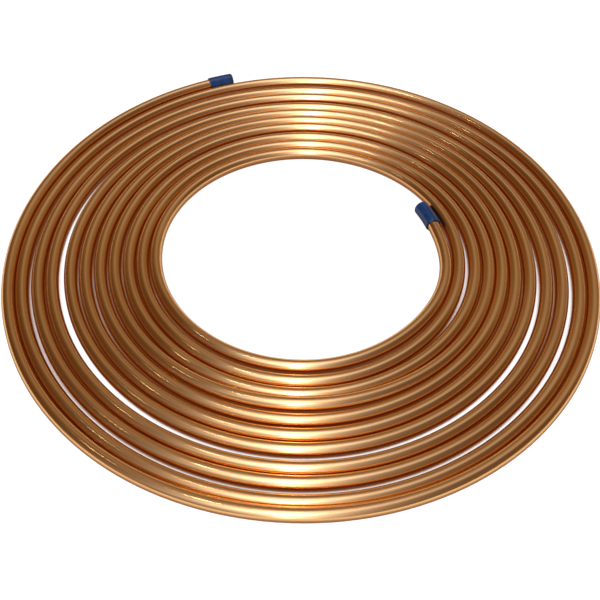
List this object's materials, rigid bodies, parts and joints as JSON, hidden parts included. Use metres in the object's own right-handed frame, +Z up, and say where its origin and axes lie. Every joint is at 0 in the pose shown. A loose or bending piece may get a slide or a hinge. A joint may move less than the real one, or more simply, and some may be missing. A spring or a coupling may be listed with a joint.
{
  "type": "copper tube coil",
  "caption": "Flat spiral coil of soft copper tube that lies on the floor, with both tube ends closed by push-on plastic caps.",
  "frame": {"origin": "on the floor under the middle of the coil", "axes": "+Z up, through the coil's eye; +Y to the coil's back, where the outer end stops; +X to the right, where the inner end stops"},
  "size_m": [0.6044, 0.599, 0.0167],
  "materials": {
    "copper": "bright drawn copper, lightly tarnished",
    "cap_plastic": "smooth soft vinyl, semi-gloss"
  },
  "bodies": {
    "root": {"copper_tube": "copper", "inner_end_cap": "cap_plastic", "outer_end_cap": "cap_plastic"}
  },
  "joints": []
}
